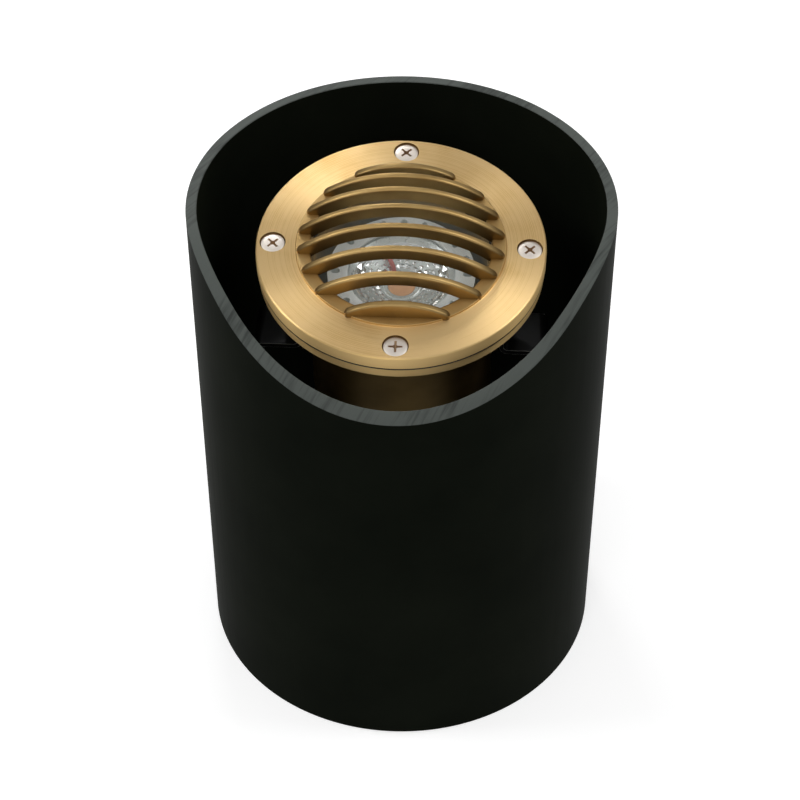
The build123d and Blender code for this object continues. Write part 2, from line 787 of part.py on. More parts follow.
# Socket screws: pan heads sunk in the socket, into the bracket
socket_screw_seat = socket_top - small_screw_head_height
with BuildPart() as socket_screws:
    with BuildSketch(face.offset(socket_screw_seat)):
        with GridLocations(0, 2 * socket_screw_offset, 1, 2):
            Circle(small_screw_head_radius)
    extrude(amount=small_screw_head_height)
    with BuildSketch(face.offset(socket_screw_seat)):
        with GridLocations(0, 2 * socket_screw_offset, 1, 2):
            Circle(small_screw_radius)
    extrude(amount=socket_under - socket_screw_seat + seat_gap)
write(socket_screws, "socket_screws")

# Bracket screws: pan heads on the bracket's feet, into the can's floor
bracket_screw_seat = floor_top + socket_bracket_thickness
with BuildPart() as bracket_screws:
    with BuildSketch(face.offset(bracket_screw_seat)):
        with GridLocations(bracket_screw_spacing, 0, 2, 1):
            Circle(small_screw_head_radius)
    extrude(amount=small_screw_head_height)
    with BuildSketch(face.offset(bracket_screw_seat)):
        with GridLocations(bracket_screw_spacing, 0, 2, 1):
            Circle(small_screw_radius)
    extrude(amount=seat_gap - small_screw_depth - socket_bracket_thickness)
write(bracket_screws, "bracket_screws")

# Cable gland: hexagon collar under the can, thread up through the floor, neck for the cap
seal_radius = gland_neck_radius - gland_wall
neck_end = gland_hex_under - gland_neck_length
with BuildPart() as cable_gland:
    with BuildSketch(face.offset(can_bottom)):
        RegularPolygon(gland_across_flats / 2, 6, major_radius=False)
    extrude(amount=-gland_hex_height)
    with BuildSketch(face.offset(can_bottom)):
        Circle(gland_thread_radius)
    extrude(amount=can_floor + gland_nut_thickness + seat_gap)
    with BuildSketch(face.offset(gland_hex_under)):
        Circle(gland_neck_radius)
    extrude(amount=-gland_neck_length)
    with Locations(face.offset(can_bottom)):
        Hole(cable_way_radius)
    with BuildSketch(face.offset(neck_end)):
        Circle(seal_radius)
    extrude(amount=gland_neck_length, mode=Mode.SUBTRACT)
write(cable_gland, "cable_gland")

# Gland nut inside the can
with BuildPart() as gland_nut:
    with BuildSketch(face.offset(floor_top + seat_gap)):
        RegularPolygon(gland_nut_across_flats / 2, 6, major_radius=False)
        Circle(gland_thread_radius + running_gap, mode=Mode.SUBTRACT)
    extrude(amount=gland_nut_thickness)
write(gland_nut, "gland_nut")

# Gland seal: rubber bush with the hole for the cable
with BuildPart() as gland_seal:
    with BuildSketch(face.offset(gland_hex_under)):
        Circle(seal_radius - running_gap)
        Circle(cable_hole_radius, mode=Mode.SUBTRACT)
    extrude(amount=gland_cap_lip + seat_gap - gland_cap_height)
write(gland_seal, "gland_seal")

# Gland cap: hexagon nut over the neck, with a rounded lip that presses the seal
with BuildPart() as gland_cap:
    with BuildSketch(face.offset(gland_hex_under - seat_gap)):
        RegularPolygon(gland_cap_across_flats / 2, 6, major_radius=False)
    extrude(amount=seat_gap - gland_cap_height)
    cap_edge = gland_cap.faces().sort_by(head_axis)[0].edges()
    chamfer(cap_edge, gland_cap_lip / 2)
    with BuildSketch(face.offset(gland_cap_under + gland_cap_lip)):
        Circle(gland_neck_radius + running_gap)
    extrude(amount=gland_cap_height, mode=Mode.SUBTRACT)
    with Locations(face.offset(gland_cap_under)):
        Hole(cable_way_radius)
write(gland_cap, "gland_cap")
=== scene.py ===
"""Looks of the well light: a louvred brass lamp head inside a slant-cut black sleeve."""

import json
import math

import bmesh
import bpy
from mathutils import Matrix, Vector


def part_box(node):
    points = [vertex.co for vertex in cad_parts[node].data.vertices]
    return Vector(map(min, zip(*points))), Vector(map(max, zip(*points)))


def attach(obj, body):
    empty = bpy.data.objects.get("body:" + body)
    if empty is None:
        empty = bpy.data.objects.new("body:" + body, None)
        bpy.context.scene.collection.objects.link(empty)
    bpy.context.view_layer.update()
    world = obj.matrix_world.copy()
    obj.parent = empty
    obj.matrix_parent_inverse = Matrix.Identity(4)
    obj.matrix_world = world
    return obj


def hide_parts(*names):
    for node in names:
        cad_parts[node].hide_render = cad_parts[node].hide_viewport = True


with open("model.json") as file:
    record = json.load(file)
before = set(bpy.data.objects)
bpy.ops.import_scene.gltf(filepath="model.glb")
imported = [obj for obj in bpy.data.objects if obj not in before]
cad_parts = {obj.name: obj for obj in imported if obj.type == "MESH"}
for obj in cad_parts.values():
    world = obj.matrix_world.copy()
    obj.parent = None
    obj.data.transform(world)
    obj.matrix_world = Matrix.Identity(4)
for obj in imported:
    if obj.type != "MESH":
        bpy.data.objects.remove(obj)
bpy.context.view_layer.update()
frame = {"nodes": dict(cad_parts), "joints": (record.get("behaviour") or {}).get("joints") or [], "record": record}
NODES = frame["nodes"]
JOINTS = {joint["name"]: joint for joint in frame["joints"]}
MOUNTS = {mount["name"]: mount for mount in frame["record"]["mounts"]}

MM = 0.001

# Sleeve, with countersunk holes for its wall screws
SLEEVE_RADIUS = 70.65 * MM
SLEEVE_WALL = 3.6 * MM
SLEEVE_HEIGHT = 187.5 * MM
SLEEVE_FRONT_HEIGHT = 153.2 * MM
SLANT = math.tan(math.radians(39.8))
SLANT_BEND = 50.0 * MM
SLEEVE_EDGE = 0.25 * MM
SLEEVE_SEGMENTS = 360
WALL_SINK_RADIUS = 6.2 * MM
WALL_HOLE_RADIUS = 2.65 * MM
WALL_SINK_DEPTH = 2.55 * MM
WALL_HOLE_DEPTH = 5.0 * MM
HOLE_SEGMENTS = 96

# The head's frame: its axis is the cable entry's, and heights start at the grille's face
HEAD_UP = -Vector(MOUNTS["cable_entry"]["axis"])
PIVOT = Vector(JOINTS["head_tilt"]["pos_m"])
FACE = PIVOT + HEAD_UP * 31.2 * MM
RIGHT = Vector((1, 0, 0))
BACK = HEAD_UP.cross(RIGHT)
HEAD = Matrix.Translation(FACE) @ Matrix((RIGHT, BACK, HEAD_UP)).transposed().to_4x4()

# Grille's ring, and the order of the grille's finishes
BEZEL_RADIUS = 48.0 * MM
BEZEL_THICKNESS = 5.2 * MM
BEZEL_EDGE = 0.55 * MM
BEZEL_LOWER_EDGE = 0.3 * MM
OPENING_RADIUS = 30.0 * MM
OPENING_EDGE = 0.5 * MM
LAND_RADIUS = 34.8 * MM
LAND_HEIGHT = 0.8 * MM
LAND_EDGE = 0.2 * MM
RECESS_RADIUS = 35.15 * MM
RECESS_TOP = -3.3 * MM
RING_SEGMENTS = 288
RIM_BAND = 0.2 * MM
SKIN = 0.02 * MM
RING, BLADE, SIDE, SEAT, LAND = range(5)

# Louvres
LOUVRE_COUNT = 8
LOUVRE_PITCH = 8.62 * MM
LOUVRE_FOOT = 2.8 * MM
LOUVRE_TOP = 2.0 * MM
LOUVRE_EDGE = 0.75 * MM
LOUVRE_NOSE = 1.7 * MM
LOUVRE_ROOT = -0.4 * MM
LOUVRE_DEPTH = 4.7 * MM
LOUVRE_END_INSET = 0.3 * MM
LOUVRE_TIP_SHARE = 0.12
LOUVRE_TIP_DROP = 0.5
LOUVRE_STATIONS = 72
FLANK_STEPS = 4
CREST_STEPS = 6
CROWN_HEIGHT = 15.4 * MM
CROWN_RADIUS = 57.0 * MM
# Height over the grille's face up to which the cast brass is darkened, a painted shade between the louvres
PAINTED_SHADE_HEIGHT = 9.0 * MM

# Flange's gasket, and the radius where the housing's colour changes from a darker brass below the flange, a
# painted shade, to the lighter brass of the flange's edge, a painted light
GASKET_RADIUS = 47.95 * MM
GASKET_THICKNESS = 0.6 * MM
GASKET_EDGE = 0.1 * MM
GASKET_HOLE_SEGMENTS = 32
CAN_SHADE_RADIUS = 35.3 * MM

# Reflector of the lamp, heights from the grille's face
LAMP_RING_INNER = 18.0 * MM
DISH_TOP = -15.46 * MM
DISH_DEPTH = 4.9 * MM
DISH_SAG = 0.9 * MM
DISH_WALL = 0.7 * MM
DISH_HOLE = 4.75 * MM
BEAD_RADIUS = 6.2 * MM
BEAD_HALF = 0.5 * MM
BEAD_RISE = 0.3 * MM
FACET_OUTER = 16.0 * MM
FACET_INNER = 7.2 * MM
FACET_RINGS = 5
FACET_COUNT = 22
FACET_RISE = 0.35 * MM

# Screws of the grille, turned in the order right, back, left and front
SCREW_CIRCLE_RADIUS = 42.5 * MM
SCREW_TURNS = (45, 45, 45, 0)
SCREW_RADIUS = 2.0 * MM
SCREW_LENGTH = 10.0 * MM
SCREW_SINK = 0.5 * MM
SCREW_HEAD_RADIUS = 4.0 * MM
SCREW_SEGMENTS = 72
SCREW_BORE = SCREW_RADIUS + 0.15 * MM
CROWN_RISE = 0.1 * MM
CROWN_SHOULDER_RADIUS = 2.2 * MM
CROWN_SHOULDER_RISE = 0.08 * MM
HEAD_BREAK = 0.1 * MM
HEAD_LAND = 0.35 * MM
HEAD_RUNOUT = 0.2 * MM
POCKET_RADIUS = 4.3 * MM
POCKET_SEGMENTS = 64

# Cross recess: reach of an arm, half its width, waist and height in mm, from above the head down
CROSS_LEVELS = (
    (2.4, 0.42, 0.8, 0.4),
    (2.25, 0.38, 0.75, 0.0),
    (1.3, 0.3, 0.6, -1.3),
    (0.5, 0.22, 0.35, -1.9),
)
CROSS_TURN = math.radians(7)
CROSS_REACH = 2.4 * MM
CROSS_DEPTH = 2.2 * MM

# Yoke
YOKE_EDGE = 0.45 * MM
YOKE_EDGE_STEPS = 2
WELD_DISTANCE = 0.01 * MM
FLAT_ANGLE = math.radians(1)
CORNER_ANGLE = math.radians(50)

# Floor and world: the floor's own white, and the world's levels by height
FLOOR_DROP = 0.05 * MM
FLOOR_RADIUS = 4.0
FLOOR_GREY = 0.8
FLOOR_GLOW = 0.5
WORLD_LIGHT = 0.4
WORLD_STEPS = ((0.0, 1.0), (0.2, 0.9), (0.45, 0.35), (0.75, 0.42), (1.0, 0.58))

# Lamps, square soft boxes: name, place, side and power
LAMPS = (
    ("right", (0.72, 0.05, 1.05), 0.4, 3.6),
    ("left", (-0.8, 0.0, 0.95), 0.4, 4.0),
    ("front", (-0.16, -0.9, 0.92), 0.4, 1.7),
    ("back", (-0.12, 0.42, 0.50), 0.12, 0.45),
)
LAMP_TARGET = (0, 0, 0.15)

# Camera, fitted to the sleeve in the photograph
PHOTO_WIDTH_PIXELS = 800
FOCAL_LENGTH_PIXELS = 2230.1
SENSOR_WIDTH_MM = 36.0
CAMERA_PLACE = Vector((24.99, -576.61, 638.02)) * MM
CAMERA_TURN = math.radians(2.54)
CAMERA_TILT = math.radians(43.09)


def smooth(mesh, sharp_from):
    """Shade smooth, with edges sharper than this angle in degrees kept crisp."""
    mesh.shade_smooth()
    mesh.set_sharp_from_angle(angle=math.radians(sharp_from))


def piece(name, mesh, body, finishes, node, place=Matrix.Identity(4)):
    """A finished object: in place, dressed, riding on its body and standing for a CAD node."""
    mesh.transform(place)
    obj = bpy.data.objects.new(name, mesh)
    bpy.context.scene.collection.objects.link(obj)
    for finish in finishes:
        mesh.materials.append(finish)
    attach(obj, body)
    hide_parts(node)
    return obj


def mesh_from(name, bm):
    """A mesh from a bmesh, with its faces turned outward."""
    bmesh.ops.recalc_face_normals(bm, faces=bm.faces)
    mesh = bpy.data.meshes.new(name)
    bm.to_mesh(mesh)
    bm.free()
    return mesh


def ring_point(radius, turn, height):
    """A point by radius and turn about Z, and height."""
    return Vector((radius * math.cos(turn), radius * math.sin(turn), height))


def bridge(bm, here, there):
    """Faces between two loops that have as many points."""
    faces = []
    for index in range(len(here)):
        after = (index + 1) % len(here)
        faces.append(bm.faces.new((here[index], here[after], there[after], there[index])))
    return faces


def add_turned(bm, profile, segments, closed=True, place=Matrix.Identity(4)):
    """Turn a list of (radius, height) points about Z into faces, then put them in place."""
    rings = []
    for radius, height in profile:
        turns = [2 * math.pi * step / segments for step in range(segments)] if radius > 0 else [0]
        rings.append([bm.verts.new(place @ ring_point(radius, turn, height)) for turn in turns])
    pairs = list(zip(rings, rings[1:])) + ([(rings[-1], rings[0])] if closed else [])
    for low, high in pairs:
        for step in range(segments):
            after = (step + 1) % segments
            corners = [
                low[step % len(low)],
                low[after % len(low)],
                high[after % len(high)],
                high[step % len(high)],
            ]
            loop = list(dict.fromkeys(corners))
            if len(loop) > 2:
                bm.faces.new(loop)


def rounded(points, steps=5, lead_share=0.3):
    """A closed profile whose corners (radius, height, fillet) become arcs, with short lead-ins."""
    out = []
    count = len(points)
    for index, (x, y, fillet) in enumerate(points):
        if fillet <= 0:
            out.append((x, y))
            continue
        corner = Vector((x, y))
        before = (Vector(points[index - 1][:2]) - corner).normalized()
        after = (Vector(points[(index + 1) % count][:2]) - corner).normalized()
        half = before.angle(after) / 2
        reach = fillet / math.tan(half)
        lead = fillet * lead_share
        centre = corner + (before + after).normalized() * fillet / math.sin(half)
        start = corner + before * reach - centre
        sweep = start.angle_signed(corner + after * reach - centre)
        out.append(tuple(corner + before * (reach + lead)))
        for step in range(steps + 1):
            out.append(tuple(centre + Matrix.Rotation(-sweep * step / steps, 2) @ start))
        out.append(tuple(corner + after * (reach + lead)))
    return out


def cut(mesh, cutter):
    """The mesh with another closed mesh taken out of it."""
    base = bpy.data.objects.new("base", mesh)
    tool = bpy.data.objects.new("tool", cutter)
    for obj in (base, tool):
        bpy.context.scene.collection.objects.link(obj)
    step = base.modifiers.new("cut", "BOOLEAN")
    step.operation = "DIFFERENCE"
    step.object = tool
    step.solver = "EXACT"
    evaluated = base.evaluated_get(bpy.context.evaluated_depsgraph_get())
    result = bpy.data.meshes.new_from_object(evaluated)
    bpy.data.objects.remove(base)
    bpy.data.objects.remove(tool)
    return result


def sleeve_top(y):
    """Height of the sleeve's mouth at this y: slope, rounded bend, flat."""
    bend = (SLEEVE_HEIGHT - SLEEVE_FRONT_HEIGHT) / SLANT - SLEEVE_RADIUS
    angle = math.atan(SLANT)
    reach = SLANT_BEND * math.tan(angle / 2)
    low_end = bend - reach * math.cos(angle)
    high_end = bend + reach
    if y >= high_end:
        return SLEEVE_HEIGHT
    if y <= low_end:
        return SLEEVE_HEIGHT + (y - bend) * SLANT
    return SLEEVE_HEIGHT - SLANT_BEND + math.sqrt(SLANT_BEND**2 - (y - high_end) ** 2)


def wall_holes():
    """Cutters for the two countersunk holes through the sleeve's wall."""
    low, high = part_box("wall_screws")
    profile = [
        (0, 1 * MM),
        (WALL_SINK_RADIUS, 1 * MM),
        (WALL_HOLE_RADIUS, -WALL_SINK_DEPTH),
        (WALL_HOLE_RADIUS, -WALL_HOLE_DEPTH),
        (0, -WALL_HOLE_DEPTH),
    ]
    bm = bmesh.new()
    for side in (-1, 1):
        place = Matrix.Translation((side * SLEEVE_RADIUS, 0, (low.z + high.z) / 2))
        place = place @ Matrix.Rotation(side * math.pi / 2, 4, "Y")
        add_turned(bm, profile, HOLE_SEGMENTS, closed=False, place=place)
    return mesh_from("wall_holes", bm)


def make_sleeve(finishes):
    """The sleeve's wall with broken edges. Its cut faces have a finish of their own."""
    inner = SLEEVE_RADIUS - SLEEVE_WALL
    rim = (
        (SLEEVE_RADIUS, SLEEVE_EDGE),
        (SLEEVE_RADIUS - SLEEVE_EDGE, 0),
        (inner + SLEEVE_EDGE, 0),
        (inner, SLEEVE_EDGE),
    )
    bm = bmesh.new()
    columns = []
    for step in range(SLEEVE_SEGMENTS):
        turn = 2 * math.pi * step / SLEEVE_SEGMENTS
        section = [(radius, sleeve_top(radius * math.sin(turn)) - down) for radius, down in rim]
        section += reversed(rim)
        columns.append([bm.verts.new(ring_point(radius, turn, height)) for radius, height in section])
    inner_wall, outer_wall = len(rim) - 1, 2 * len(rim) - 1
    for here, there in zip(columns, columns[1:] + columns[:1]):
        for index, face in enumerate(bridge(bm, here, there)):
            face.material_index = 0 if index in (inner_wall, outer_wall) else 1
    mesh = cut(mesh_from("sleeve_shell", bm), wall_holes())
    smooth(mesh, sharp_from=25)
    piece("sleeve_shell", mesh, "sleeve_frame", finishes, "sleeve")


def screw_spots():
    """The places of the grille's four screws, from the right round to the front."""
    return [ring_point(SCREW_CIRCLE_RADIUS, math.pi / 2 * index, 0) for index in range(len(SCREW_TURNS))]


def make_ring():
    """The grille's turned ring, with a pocket and a hole for each screw."""
    profile = rounded(
        [
            (OPENING_RADIUS, RECESS_TOP, 0),
            (OPENING_RADIUS, LAND_HEIGHT, OPENING_EDGE),
            (LAND_RADIUS, LAND_HEIGHT, LAND_EDGE),
            (LAND_RADIUS, 0, LAND_EDGE),
            (BEZEL_RADIUS, 0, BEZEL_EDGE),
            (BEZEL_RADIUS, -BEZEL_THICKNESS, BEZEL_LOWER_EDGE),
            (RECESS_RADIUS, -BEZEL_THICKNESS, 0),
            (RECESS_RADIUS, RECESS_TOP, 0),
        ]
    )
    pocket = [
        (0, 1 * MM),
        (POCKET_RADIUS, 1 * MM),
        (POCKET_RADIUS, -SCREW_SINK),
        (SCREW_BORE, SCREW_BORE - POCKET_RADIUS - SCREW_SINK),
        (SCREW_BORE, -2 * BEZEL_THICKNESS),
        (0, -2 * BEZEL_THICKNESS),
    ]
    ring = bmesh.new()
    add_turned(ring, profile, RING_SEGMENTS)
    pockets = bmesh.new()
    for spot in screw_spots():
        add_turned(pockets, pocket, POCKET_SEGMENTS, closed=False, place=Matrix.Translation(spot))
    return cut(mesh_from("ring", ring), mesh_from("pockets", pockets))


def arc_height(centre, radius, x):
    """Height of an arc over x, or far below where the arc doesn't reach."""
    return centre + math.sqrt(radius**2 - x**2) if abs(x) < radius else -1.0


def add_louvre(bm, place, crown, depth, half_length):
    """One grille blade: arched top and underside, drafted sides, rounded crest and noses."""
    rise = crown - LOUVRE_NOSE
    radius = (half_length**2 + rise**2) / (2 * rise)
    centre = crown - radius
    foot = LOUVRE_FOOT / 2
    draft = (foot - LOUVRE_TOP / 2) / (CROWN_HEIGHT - LOUVRE_ROOT)
    loops = []
    for station in range(LOUVRE_STATIONS + 1):
        x = half_length * math.sin(math.pi * (station / LOUVRE_STATIONS - 0.5))
        past = max(0.0, abs(x) - (half_length - foot)) / foot
        plan = max(LOUVRE_TIP_SHARE, math.sqrt(max(0.0, 1 - past**2)))
        top = arc_height(centre, radius, x) - LOUVRE_TIP_DROP * foot * (1 - plan)
        bottom = max(LOUVRE_ROOT, arc_height(centre, radius - depth, x))
        edge = LOUVRE_EDGE * plan
        shoulder = top - edge
        crest = (foot - draft * (shoulder - LOUVRE_ROOT)) * plan - edge
        flank = []
        for step in range(FLANK_STEPS):
            height = bottom + (shoulder - bottom) * step / FLANK_STEPS
            flank.append(((foot - draft * (height - LOUVRE_ROOT)) * plan, height))
        for step in range(CREST_STEPS + 1):
            turn = math.pi / 2 * step / CREST_STEPS
            flank.append((crest + edge * math.cos(turn), shoulder + edge * math.sin(turn)))
        outline = [(place - y, z) for y, z in flank] + [(place + y, z) for y, z in reversed(flank)]
        loops.append([bm.verts.new((x, y, z)) for y, z in outline])
    faces = []
    for here, there in zip(loops, loops[1:]):
        faces += bridge(bm, here, there)
    faces += [bm.faces.new(loops[0]), bm.faces.new(reversed(loops[-1]))]
    for face in faces:
        face.material_index = BLADE


def make_grille(finishes):
    """The casting: turned ring with screw pockets, and the domed louvres."""
    bm = bmesh.new()
    bm.from_mesh(make_ring())
    for row in range(LOUVRE_COUNT):
        place = (row - (LOUVRE_COUNT - 1) / 2) * LOUVRE_PITCH
        crown = CROWN_HEIGHT - CROWN_RADIUS + math.sqrt(CROWN_RADIUS**2 - place**2)
        depth = crown - LOUVRE_ROOT if row in (0, LOUVRE_COUNT - 1) else LOUVRE_DEPTH
        half_length = math.sqrt(LAND_RADIUS**2 - place**2) - LOUVRE_END_INSET
        add_louvre(bm, place, crown, depth, half_length)
    # Side faces get a lighter brass, a painted light, and the screw pockets' faces a dark brass, a painted shade
    for face in bm.faces:
        middle = face.calc_center_median()
        to_screw = min((middle.xy - spot.xy).length for spot in screw_spots())
        if middle.xy.length > BEZEL_RADIUS - RIM_BAND:
            face.material_index = SIDE
        elif middle.z < -SKIN and to_screw < POCKET_RADIUS:
            face.material_index = SEAT
        elif face.material_index == RING and middle.xy.length < LAND_RADIUS + SKIN:
            face.material_index = LAND
    mesh = mesh_from("grille", bm)
    smooth(mesh, sharp_from=32)
    piece("grille", mesh, "head", finishes, "grille_bezel", HEAD)


def screw_blank():
    """A countersunk screw with a low crown and no recess."""
    profile = [
        (0, CROWN_RISE),
        (CROWN_SHOULDER_RADIUS, CROWN_SHOULDER_RISE),
        (SCREW_HEAD_RADIUS - HEAD_LAND, 0),
        (SCREW_HEAD_RADIUS - HEAD_BREAK, -HEAD_BREAK),
        (SCREW_HEAD_RADIUS, -HEAD_LAND),
        (SCREW_RADIUS, SCREW_RADIUS - SCREW_HEAD_RADIUS - HEAD_RUNOUT),
        (SCREW_RADIUS, -SCREW_LENGTH),
        (0, -SCREW_LENGTH),
    ]
    bm = bmesh.new()
    add_turned(bm, profile, SCREW_SEGMENTS, closed=False)
    return mesh_from("screw_blank", bm)


def cross_cutter():
    """The tapered cross that a screw's recess has, turned off the blank's own edges."""
    bm = bmesh.new()
    loops = []
    for arm, half, waist, height in CROSS_LEVELS:
        quarter = [(arm, -half), (arm, half), (waist, half), (half, waist)]
        turns = [Matrix.Rotation(math.pi / 2 * index, 2) for index in range(4)]
        points = [turn @ Vector(point) * MM for turn in turns for point in quarter]
        loops.append([bm.verts.new((x, y, height * MM)) for x, y in points])
    for here, there in zip(loops, loops[1:]):
        bridge(bm, here, there)
    bm.faces.new(loops[0])
    bm.faces.new(loops[-1])
    bmesh.ops.rotate(bm, matrix=Matrix.Rotation(CROSS_TURN, 3, "Z"), verts=bm.verts)
    return mesh_from("cross", bm)


def in_cross(polygon):
    """Whether a face of a cut screw lies in its recess, by place and by the way it faces."""
    x, y, z = polygon.center
    reach = math.hypot(x, y)
    facing = polygon.normal.z
    below_top = z < -SKIN or (z < CROWN_RISE * 0.6 and facing < 0.8)
    on_underside = reach > SCREW_RADIUS and facing < -0.3
    near_axis = reach < CROSS_REACH and z > -CROSS_DEPTH and facing > -0.5
    return near_axis and below_top and not on_underside


def make_screws(finishes):
    """Countersunk screws with a cross recess, turned as the photograph shows them."""
    screw = cut(screw_blank(), cross_cutter())
    for polygon in screw.polygons:
        # Faces in the cross recess take the second finish, a painted shade
        polygon.material_index = 1 if in_cross(polygon) else 0
    bm = bmesh.new()
    for spot, turn in zip(screw_spots(), SCREW_TURNS):
        copy = screw.copy()
        place = Matrix.Translation(spot - Vector((0, 0, SCREW_SINK)))
        copy.transform(place @ Matrix.Rotation(math.radians(turn) - CROSS_TURN, 4, "Z"))
        bm.from_mesh(copy)
    mesh = bpy.data.meshes.new("grille_screw_heads")
    bm.to_mesh(mesh)
    smooth(mesh, sharp_from=30)
    piece("grille_screw_heads", mesh, "head", finishes, "grille_screws", HEAD)


def dish_height(radius):
    """Height of the reflector's plain surface at this radius."""
    part = (LAMP_RING_INNER - radius) / (LAMP_RING_INNER - DISH_HOLE)
    return DISH_TOP - DISH_DEPTH * part - 4 * DISH_SAG * part * (1 - part)


def add_facets(bm, high, low, radius, shift):
    """A ring of raised facets, each with six corners on the two loops and a peak between them."""
    count = len(high)
    for facet in range(FACET_COUNT):
        first = 2 * facet + shift
        turn = math.pi * (first + 1) / FACET_COUNT
        peak = bm.verts.new(ring_point(radius, turn, dish_height(radius) + FACET_RISE))
        corners = [high[(first + step) % count] for step in (0, 1, 2)]
        corners += [low[(first + step) % count] for step in (2, 1, 0)]
        for here, there in zip(corners, corners[1:] + corners[:1]):
            bm.faces.new((here, there, peak)).material_index = 1


def make_reflector(finishes):
    """The lamp's dish: a plain rim, rings of raised facets, and a bead round the chip's hole."""
    radii = [LAMP_RING_INNER, (LAMP_RING_INNER + FACET_OUTER) / 2]
    first_facets = len(radii)
    for ring in range(FACET_RINGS + 1):
        radii.append(FACET_OUTER + (FACET_INNER - FACET_OUTER) * ring / FACET_RINGS)
    radii += [BEAD_RADIUS + BEAD_HALF, BEAD_RADIUS, BEAD_RADIUS - BEAD_HALF, DISH_HOLE]
    bm = bmesh.new()
    turns = [math.pi * step / FACET_COUNT for step in range(2 * FACET_COUNT)]
    rings = []
    for radius in radii:
        height = dish_height(radius) + (BEAD_RISE if radius == BEAD_RADIUS else 0)
        rings.append([bm.verts.new(ring_point(radius, turn, height)) for turn in turns])
    for ring, (high, low) in enumerate(zip(rings, rings[1:])):
        if first_facets <= ring < first_facets + FACET_RINGS:
            add_facets(bm, high, low, (radii[ring] + radii[ring + 1]) / 2, ring % 2)
        else:
            bridge(bm, high, low)
    wall = Vector((0, 0, DISH_WALL))
    outer, inner = ([bm.verts.new(vert.co - wall) for vert in ring] for ring in (rings[0], rings[-1]))
    for here, there in ((rings[0], outer), (outer, inner), (inner, rings[-1])):
        bridge(bm, here, there)
    mesh = mesh_from("reflector_dish", bm)
    smooth(mesh, sharp_from=14)
    piece("reflector_dish", mesh, "head", finishes, "lamp_reflector", HEAD)


def make_gasket(finishes):
    """The flange's gasket, squeezed out almost to the edge, so that it shows as a dark line."""
    top, low = -BEZEL_THICKNESS, -BEZEL_THICKNESS - GASKET_THICKNESS
    profile = [
        (RECESS_RADIUS, top),
        (GASKET_RADIUS - GASKET_EDGE, top),
        (GASKET_RADIUS, (top + low) / 2),
        (GASKET_RADIUS - GASKET_EDGE, low),
        (RECESS_RADIUS, low),
    ]
    above, below = top + 1 * MM, low - 1 * MM
    hole = [(0, above), (SCREW_BORE, above), (SCREW_BORE, below), (0, below)]
    bm = bmesh.new()
    add_turned(bm, profile, RING_SEGMENTS)
    holes = bmesh.new()
    for spot in screw_spots():
        add_turned(holes, hole, GASKET_HOLE_SEGMENTS, closed=False, place=Matrix.Translation(spot))
    mesh = cut(mesh_from("gasket_ring", bm), mesh_from("holes", holes))
    smooth(mesh, sharp_from=30)
    piece("gasket_ring", mesh, "head", finishes, "flange_gasket", HEAD)


def make_housing(finishes):
    """The housing as the CAD has it, with a lighter brass on the flange's edge as painted light and a darker brass
    below it as painted shade.
    """
    mesh = NODES["housing"].data.copy()
    mesh.materials.clear()
    for polygon in mesh.polygons:
        spoke = (polygon.center - FACE).cross(HEAD_UP)
        polygon.material_index = 0 if spoke.length > CAN_SHADE_RADIUS else 1
    piece("housing_body", mesh, "head", finishes, "housing")


def make_yoke(finishes):
    """The yoke's strap with its edges broken, and a pale finish on the bevels as a painted highlight."""
    bm = bmesh.new()
    bm.from_mesh(NODES["yoke"].data)
    bmesh.ops.remove_doubles(bm, verts=bm.verts, dist=WELD_DISTANCE)
    bmesh.ops.dissolve_limit(bm, angle_limit=FLAT_ANGLE, verts=bm.verts, edges=bm.edges)
    mesh = mesh_from("yoke_strap", bm)
    strap = piece("yoke_strap", mesh, "yoke", finishes, "yoke")
    edges = strap.modifiers.new("edges", "BEVEL")
    edges.width = YOKE_EDGE
    edges.segments = YOKE_EDGE_STEPS
    edges.limit_method = "ANGLE"
    edges.angle_limit = CORNER_ANGLE
    # The bevels take the pale second finish, a painted highlight along the edges
    edges.material = 1


def add_node(tree, kind, inputs=(), **settings):
    """Add a node to a shader tree, set its values, and link or fill its inputs."""
    node = tree.nodes.new(kind)
    for name, value in settings.items():
        setattr(node, name, value)
    for name, value in dict(inputs).items():
        if isinstance(value, bpy.types.NodeSocket):
            tree.links.new(value, node.inputs[name])
        else:
            node.inputs[name].default_value = value
    return node


